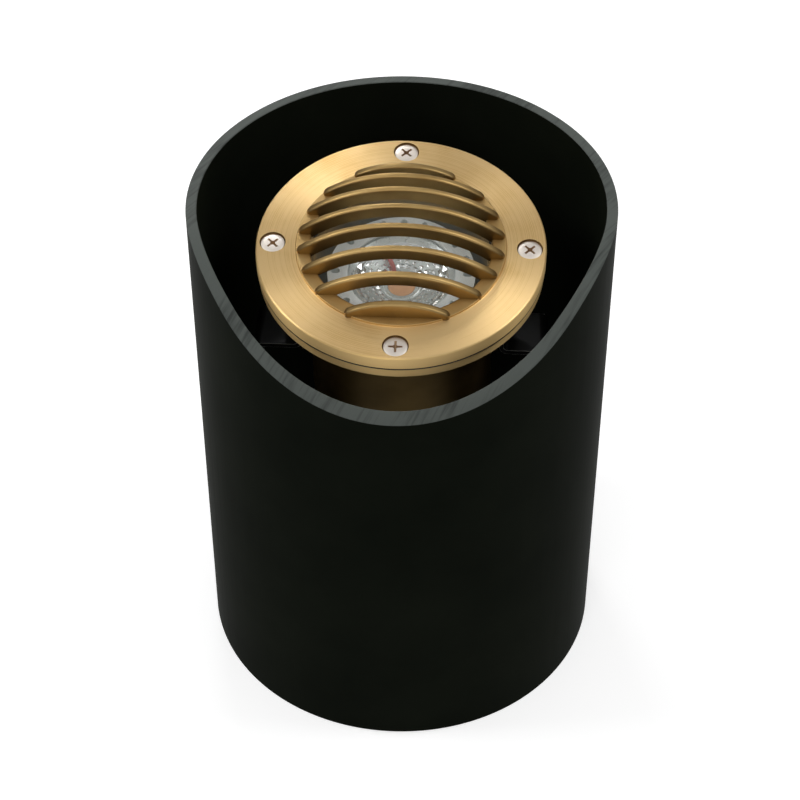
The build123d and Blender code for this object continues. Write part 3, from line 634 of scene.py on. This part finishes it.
class Finish:
    """A procedural material: a Principled shader and short ways to feed it."""

    def __init__(self, name, **sockets):
        self.material = bpy.data.materials.new(name)
        self.material.use_nodes = True
        self.tree = self.material.node_tree
        self.shader = self.tree.nodes["Principled BSDF"]
        self.coordinates = self.node("ShaderNodeTexCoord").outputs["Object"]
        for socket, value in sockets.items():
            self.shader.inputs[socket.replace("_", " ")].default_value = value

    def node(self, kind, inputs=(), **settings):
        """Add a node to the material."""
        return add_node(self.tree, kind, inputs, **settings)

    def maths(self, operation, first, second):
        """The result of a calculation on two numbers."""
        return self.node("ShaderNodeMath", {0: first, 1: second}, operation=operation).outputs[0]

    def vector(self, operation, inputs, output=0):
        """An output of a calculation on vectors."""
        return self.node("ShaderNodeVectorMath", inputs, operation=operation).outputs[output]

    def link(self, output, socket):
        """Feed one of the shader's sockets."""
        self.tree.links.new(output, self.shader.inputs[socket])

    def noise(self, scale, detail=4.0, roughness=0.55, stretch=(1, 1, 1)):
        """Noise over object space, scale in waves per metre."""
        place = self.node("ShaderNodeMapping", {"Vector": self.coordinates, "Scale": stretch})
        wanted = {"Vector": place.outputs[0], "Scale": scale, "Detail": detail, "Roughness": roughness}
        return self.node("ShaderNodeTexNoise", wanted).outputs["Fac"]

    def span(self, value, low, high, start=0.3, end=0.7):
        """Map a value to a number between two numbers."""
        wanted = {"Value": value, "From Min": start, "From Max": end, "To Min": low, "To Max": high}
        return self.node("ShaderNodeMapRange", wanted).outputs["Result"]

    def ramp(self, value, low, high, start=0.3, end=0.7):
        """Map a value to a colour between two colours."""
        ramp = self.node("ShaderNodeValToRGB", {"Fac": value})
        for element, position, shade in zip(ramp.color_ramp.elements, (start, end), (low, high)):
            element.position = position
            element.color = (*shade, 1)
        return ramp.outputs["Color"]

    def roughen(self, value, low, high):
        """Let a value swing the roughness between two numbers."""
        self.link(self.span(value, low, high), "Roughness")

    def bump(self, height, strength, distance):
        """Bump from a height value."""
        wanted = {"Height": height, "Strength": strength, "Distance": distance}
        self.link(self.node("ShaderNodeBump", wanted).outputs["Normal"], "Normal")


def colour(red, green, blue):
    """Linear colour from the 0 to 255 values that a screen shows."""
    def linear(value):
        share = value / 255
        return ((share + 0.055) / 1.055) ** 2.4 if value > 10 else share / 12.92

    return tuple(linear(value) for value in (red, green, blue))


def turned_brass(name, low, high, roughness, anisotropy):
    """Brass turned about the head's axis: fine rings, and highlights that fan across them."""
    sheen = {"Roughness": roughness, "Anisotropic": anisotropy, "Anisotropic_Rotation": 0.25}
    finish = Finish(name, Metallic=1.0, **sheen)
    spoke = finish.vector("SUBTRACT", {0: finish.coordinates, 1: FACE})
    along = finish.vector("CROSS_PRODUCT", {0: HEAD_UP, 1: spoke})
    spaces = {"convert_from": "OBJECT", "convert_to": "WORLD"}
    lay = finish.node("ShaderNodeVectorTransform", {"Vector": along}, **spaces).outputs[0]
    finish.link(finish.vector("NORMALIZE", {0: lay}), "Tangent")
    radius = finish.vector("LENGTH", {0: along}, "Value")
    wanted = {"W": radius, "Scale": 3800.0, "Detail": 3.0}
    rings = finish.node("ShaderNodeTexNoise", wanted, noise_dimensions="1D").outputs["Fac"]
    tone = finish.maths("ADD", finish.noise(40.0, detail=3.0), rings)
    finish.link(finish.ramp(tone, low, high, 0.75, 1.25), "Base Color")
    finish.roughen(rings, roughness - 0.03, roughness + 0.04)
    finish.bump(rings, strength=0.05, distance=0.03 * MM)
    return finish.material


def cast_brass(name, low, high, roughness, root_shade=1.0):
    """Brass with slow changes of tone and a fine grain, its colour darkened towards the grille's face as painted
    shade between the louvres.
    """
    finish = Finish(name, Metallic=1.0, Roughness=roughness)
    tone = finish.ramp(finish.noise(55.0, detail=3.0), low, high)
    spoke = finish.vector("SUBTRACT", {0: finish.coordinates, 1: FACE})
    height = finish.vector("DOT_PRODUCT", {0: spoke, 1: HEAD_UP}, "Value")
    # Painted shade: the colour fades to the given share at the grille's face
    share = finish.span(height, root_shade, 1.0, 0.0, PAINTED_SHADE_HEIGHT)
    finish.link(finish.vector("SCALE", {0: tone, "Scale": share}), "Base Color")
    finish.roughen(finish.noise(500.0, detail=3.0), roughness - 0.03, roughness + 0.04)
    finish.bump(finish.noise(1800.0, detail=2.0), strength=0.05, distance=0.03 * MM)
    return finish.material


def sawn_finish(name, low, high):
    """Sawn plastic: faint straight marks that cross the edge at a slant."""
    finish = Finish(name, Roughness=0.6, Specular_IOR_Level=0.3)
    slant = {"Vector": finish.coordinates, "Rotation": (0, 0, 0.6)}
    turned = finish.node("ShaderNodeMapping", slant).outputs[0]
    drawn = {"Vector": turned, "Scale": (1.0, 0.06, 0.06)}
    place = finish.node("ShaderNodeMapping", drawn).outputs[0]
    wanted = {"Vector": place, "Scale": 900.0, "Detail": 4.0}
    marks = finish.node("ShaderNodeTexNoise", wanted).outputs["Fac"]
    tone = finish.maths("ADD", marks, finish.noise(30.0, detail=2.0))
    finish.link(finish.ramp(tone, low, high, 0.7, 1.3), "Base Color")
    finish.roughen(marks, 0.5, 0.7)
    finish.bump(marks, strength=0.25, distance=0.1 * MM)
    return finish.material


def extruded_finish(name, low, high, roughness, specular):
    """Extruded plastic: a faint lay along the pipe and a soft, uneven sheen."""
    finish = Finish(name, Roughness=roughness, Specular_IOR_Level=specular)
    finish.link(finish.ramp(finish.noise(25.0, detail=3.0), low, high), "Base Color")
    lay = finish.noise(900.0, detail=2.0, roughness=0.5, stretch=(1, 1, 0.02))
    finish.roughen(lay, roughness - 0.02, roughness + 0.02)
    finish.bump(finish.noise(1500.0, detail=2.0), strength=0.05, distance=0.1 * MM)
    return finish.material


def plain_finish(name, low, high, roughness, metallic=0.0, grain=1500.0, bump=0.06, **more):
    """A finish with slight changes of tone and a fine grain."""
    finish = Finish(name, Metallic=metallic, Roughness=roughness, **more)
    finish.link(finish.ramp(finish.noise(60.0), low, high), "Base Color")
    finish.roughen(finish.noise(grain / 3), roughness - 0.05, roughness + 0.05)
    finish.bump(finish.noise(grain, detail=2.0), strength=bump, distance=0.1 * MM)
    return finish.material


def clear_finish(name, tint, alpha):
    """Clear glass or plastic, thin enough to see through without bending the view."""
    finish = Finish(name, Roughness=0.03, Alpha=alpha)
    finish.roughen(finish.noise(45.0), 0.02, 0.09)
    finish.shader.inputs["Base Color"].default_value = (*tint, 1)
    return finish.material


FINISHES = {
    "plastic": extruded_finish("plastic", colour(15, 18, 13), colour(21, 24, 18), 0.5, 0.005),
    "cut_plastic": sawn_finish("cut_plastic", colour(44, 48, 45), colour(76, 81, 77)),
    "turned": turned_brass("turned", colour(214, 174, 108), colour(238, 204, 146), 0.42, 0.8),
    # The louvres' brass is darkened to 0.35 at the grille's face: painted shade
    "cast": cast_brass("cast", colour(164, 134, 84), colour(190, 160, 106), 0.42, root_shade=0.35),
    # Lighter brass than the face's, for the side walls: painted light
    "turned_side_painted_light": turned_brass("turned_side_painted_light", colour(226, 190, 124), colour(244, 212, 150), 0.55, 0.85),
    # Darker brass for the housing below the flange: painted shade
    "can_painted_shade": turned_brass("can_painted_shade", colour(150, 122, 66), colour(178, 146, 84), 0.48, 0.35),
    "gland": cast_brass("gland", colour(170, 138, 80), colour(196, 160, 98), 0.3),
    "land": cast_brass("land", colour(176, 144, 92), colour(200, 168, 114), 0.44),
    # Dark brass in the screw pockets: painted shade
    "seat_painted_shade": cast_brass("seat_painted_shade", colour(84, 60, 32), colour(108, 80, 46), 0.5),
    "steel": plain_finish("steel", colour(228, 218, 206), colour(242, 233, 223), 0.42, 1.0),
    # Darker, browner steel inside the cross recesses: painted shade
    "recess": plain_finish("recess", colour(150, 122, 90), colour(196, 166, 130), 0.5, 0.5),
    "paint": plain_finish("paint", colour(10, 10, 9), colour(16, 15, 14), 0.38, Specular_IOR_Level=0.35),
    # Pale finish for the yoke's bevels: painted highlight
    "edge_painted_highlight": plain_finish("edge_painted_highlight", colour(196, 198, 192), colour(222, 222, 214), 0.5, 0.3),
    "nylon": plain_finish("nylon", colour(205, 202, 190), colour(220, 217, 207), 0.45),
    "rubber": plain_finish("rubber", colour(44, 38, 30), colour(58, 50, 40), 0.6),
    "white": plain_finish("white", colour(222, 227, 224), colour(238, 242, 240), 0.35),
    "frosted": plain_finish("frosted", colour(206, 212, 208), colour(230, 235, 231), 0.3, 0.5),
    "mirror": plain_finish("mirror", colour(232, 236, 234), colour(250, 252, 251), 0.22, 1.0, 300.0, 0.02),
    "ceramic": plain_finish("ceramic", colour(215, 212, 200), colour(230, 228, 218), 0.4),
    "chip": plain_finish("chip", colour(226, 156, 92), colour(238, 172, 110), 0.35),
    "red": plain_finish("red", colour(190, 60, 52), colour(208, 82, 72), 0.4),
    "glass": clear_finish("glass", colour(215, 228, 222), 0.05),
    "cover": clear_finish("cover", colour(230, 238, 236), 0.05),
}

# CAD nodes that keep their shape, by finish
DRESSES = {
    "paint": ("crossbar", "socket_bracket"),
    "steel": ("wall_screws", "wall_nuts", "swivel_bolt", "swivel_nut", "pivot_bolts", "pivot_washers",
              "socket_screws", "bracket_screws", "lamp_pins"),
    "nylon": ("swivel_washers", "pivot_spacers"),
    "rubber": ("lens_gasket", "gland_seal"),
    "gland": ("cable_gland", "gland_nut", "gland_cap"),
    "white": ("lamp_heatsink", "lamp_ring", "lamp_board"),
    "ceramic": ("lamp_base", "lamp_socket"),
    "chip": ("lamp_chip",),
    "red": ("lamp_wire",),
    "glass": ("lens",),
    "cover": ("lamp_lens",),
}

# Pieces that stand for CAD nodes, and their finishes in order
MAKERS = (
    (make_sleeve, ("plastic", "cut_plastic")),
    (make_grille, ("turned", "cast", "turned_side_painted_light", "seat_painted_shade", "land")),
    (make_screws, ("steel", "recess")),
    (make_reflector, ("frosted", "mirror")),
    (make_gasket, ("rubber",)),
    (make_housing, ("turned_side_painted_light", "can_painted_shade")),
    (make_yoke, ("paint", "edge_painted_highlight")),
)


def dress_nodes():
    """Give each CAD node that keeps its shape its material."""
    for finish_name, nodes in DRESSES.items():
        for node in nodes:
            materials = NODES[node].data.materials
            materials.clear()
            materials.append(FINISHES[finish_name])


def make_pieces():
    """Make the pieces that stand for CAD nodes."""
    for maker, names in MAKERS:
        maker([FINISHES[name] for name in names])


def add_lamp(name, place, side, power):
    """A square soft box at a place, facing the head, that the camera doesn't see."""
    data = bpy.data.lights.new(name, "AREA")
    data.shape = "SQUARE"
    data.size = side
    data.energy = power
    lamp = bpy.data.objects.new(name, data)
    bpy.context.scene.collection.objects.link(lamp)
    lamp.location = place
    lamp.visible_camera = False
    aim = Vector(LAMP_TARGET) - Vector(place)
    lamp.rotation_euler = aim.to_track_quat("-Z", "Y").to_euler()


def seen_rays(tree):
    """1 for camera, glossy and transmission rays, which all see the same background."""
    paths = add_node(tree, "ShaderNodeLightPath").outputs
    total = paths["Is Camera Ray"]
    for name in ("Is Glossy Ray", "Is Transmission Ray"):
        either = add_node(tree, "ShaderNodeMath", {0: total, 1: paths[name]}, operation="MAXIMUM")
        total = either.outputs[0]
    return total


def make_floor():
    """A white floor that shows the background's white and keeps the object's shadow."""
    bm = bmesh.new()
    bmesh.ops.create_circle(bm, cap_ends=True, segments=96, radius=FLOOR_RADIUS)
    floor = bpy.data.objects.new("floor", mesh_from("floor", bm))
    bpy.context.scene.collection.objects.link(floor)
    floor.location.z = -FLOOR_DROP
    finish = Finish("floor", Roughness=0.9, Specular_IOR_Level=0.0)
    finish.shader.inputs["Base Color"].default_value = (FLOOR_GREY, FLOOR_GREY, FLOOR_GREY, 1)
    finish.shader.inputs["Emission Color"].default_value = (1, 1, 1, 1)
    finish.link(finish.maths("MULTIPLY", seen_rays(finish.tree), FLOOR_GLOW), "Emission Strength")
    floor.data.materials.append(finish.material)


def make_world():
    """A soft studio: white at the horizon, dimmer up to the lamps, brighter overhead."""
    world = bpy.data.worlds.new("world")
    bpy.context.scene.world = world
    world.use_nodes = True
    tree = world.node_tree
    background = tree.nodes["Background"]
    background.inputs["Color"].default_value = (1, 1, 1, 1)
    way = add_node(tree, "ShaderNodeTexCoord").outputs["Generated"]
    height = add_node(tree, "ShaderNodeSeparateXYZ", {0: way}).outputs["Z"]
    ramp = add_node(tree, "ShaderNodeValToRGB", {"Fac": height})
    elements = ramp.color_ramp.elements
    elements[0].position = WORLD_STEPS[0][0]
    elements[1].position = WORLD_STEPS[-1][0]
    for position, _ in WORLD_STEPS[1:-1]:
        elements.new(position)
    for element, (_, level) in zip(elements, WORLD_STEPS):
        element.color = (level, level, level, 1)
    wanted = {"Factor": seen_rays(tree), "A": WORLD_LIGHT, "B": ramp.outputs["Color"]}
    choice = add_node(tree, "ShaderNodeMix", wanted)
    tree.links.new(choice.outputs["Result"], background.inputs["Strength"])


def make_camera():
    """The camera where the photograph was taken from."""
    data = bpy.data.cameras.new("camera")
    data.sensor_width = SENSOR_WIDTH_MM
    data.lens = FOCAL_LENGTH_PIXELS / PHOTO_WIDTH_PIXELS * SENSOR_WIDTH_MM
    camera = bpy.data.objects.new("camera", data)
    bpy.context.scene.collection.objects.link(camera)
    camera.location = CAMERA_PLACE
    camera.rotation_euler = (math.pi / 2 - CAMERA_TILT, 0, CAMERA_TURN)
    bpy.context.scene.camera = camera


def make_stage():
    """Floor, world, lamps and camera."""
    bpy.context.scene.view_settings.view_transform = "Standard"
    make_floor()
    make_world()
    for lamp in LAMPS:
        add_lamp(*lamp)
    make_camera()


dress_nodes()
make_pieces()
make_stage()
